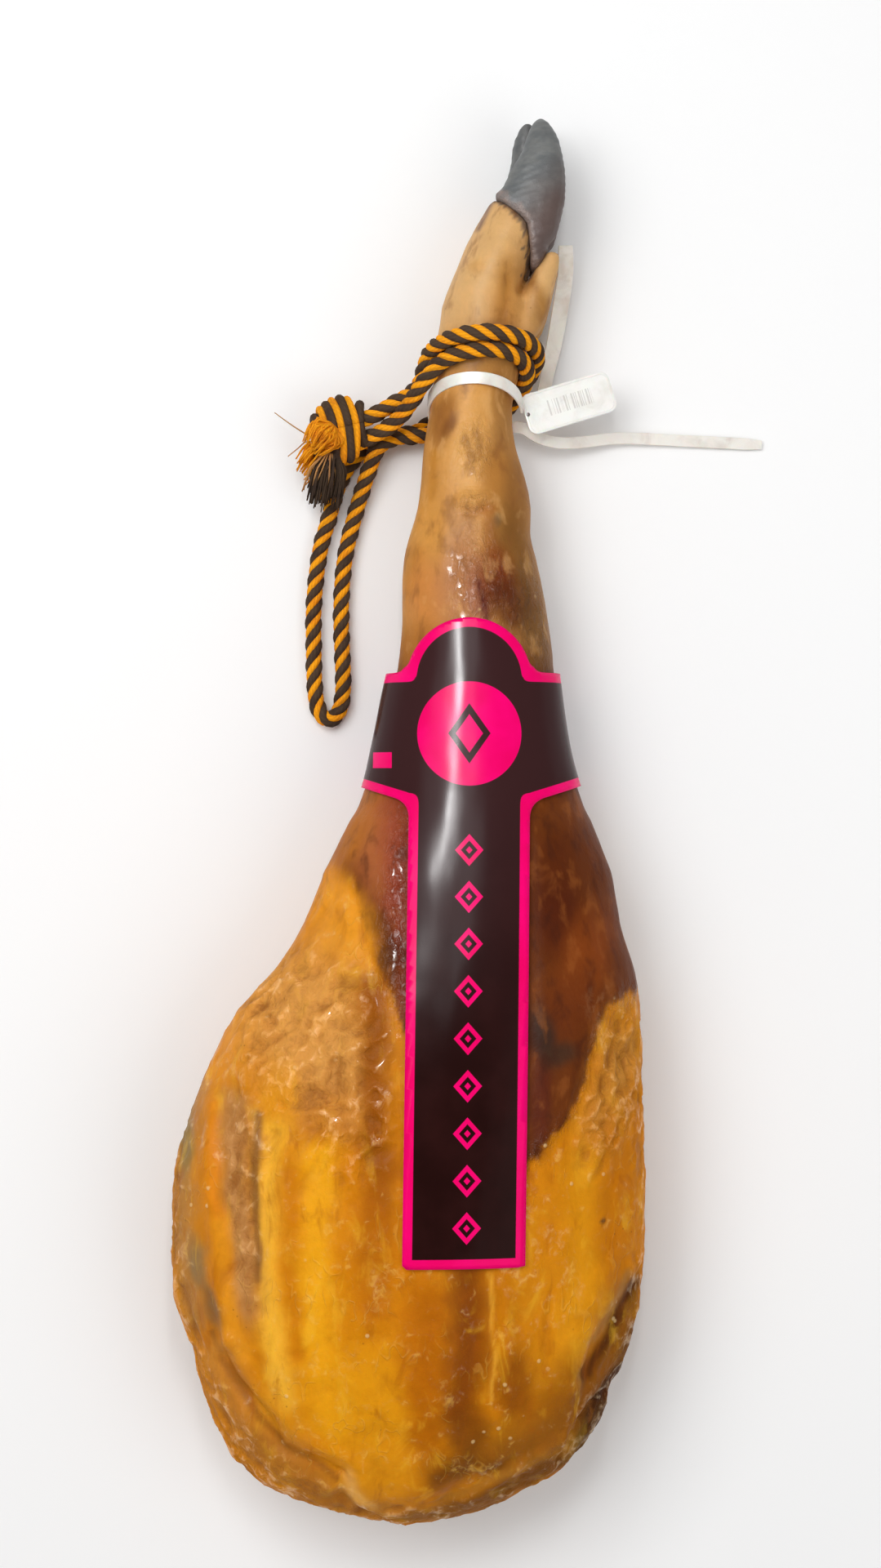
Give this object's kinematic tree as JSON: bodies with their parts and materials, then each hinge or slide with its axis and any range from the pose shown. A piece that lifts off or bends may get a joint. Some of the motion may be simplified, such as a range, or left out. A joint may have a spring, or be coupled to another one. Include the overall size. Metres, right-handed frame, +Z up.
{
  "type": "cured ham",
  "caption": "Whole bone-in cured ham with hoof, lying down, with a knotted two-colour hanging rope, a plastic strap seal with flag, a loose strip and a dark T-shaped label.",
  "frame": {"origin": "on the flat resting face, below the thickest part of the ham and on the label's centre line", "axes": "+Y along the leg towards the hoof, +Z up out of the resting face, +X across"},
  "size_m": [0.3446, 0.81, 0.1346],
  "materials": {
    "skin": "oily cured skin and fat, satin with glossy spots",
    "hoof": "dull slate-grey horn",
    "label": "glossy printed sheet, dark brown with a bright hot pink border",
    "seal": "off-white, slightly translucent",
    "strip": "off-white, slightly translucent",
    "rope": "matt laid cotton, orange and near-black strands",
    "yarn": "matt loose orange yarn",
    "dark_yarn": "matt loose near-black yarn"
  },
  "bodies": {
    "root": {"cured_leg": "skin", "hoof_upper": "hoof", "hoof_lower": "hoof", "label_sleeve": "label", "seal_strap": "seal", "seal_flag": "seal", "loose_strip": "strip", "rope": "rope", "rope_knot": "rope", "frayed_end_upper": "yarn", "frayed_end_lower": "dark_yarn"}
  },
  "joints": []
}
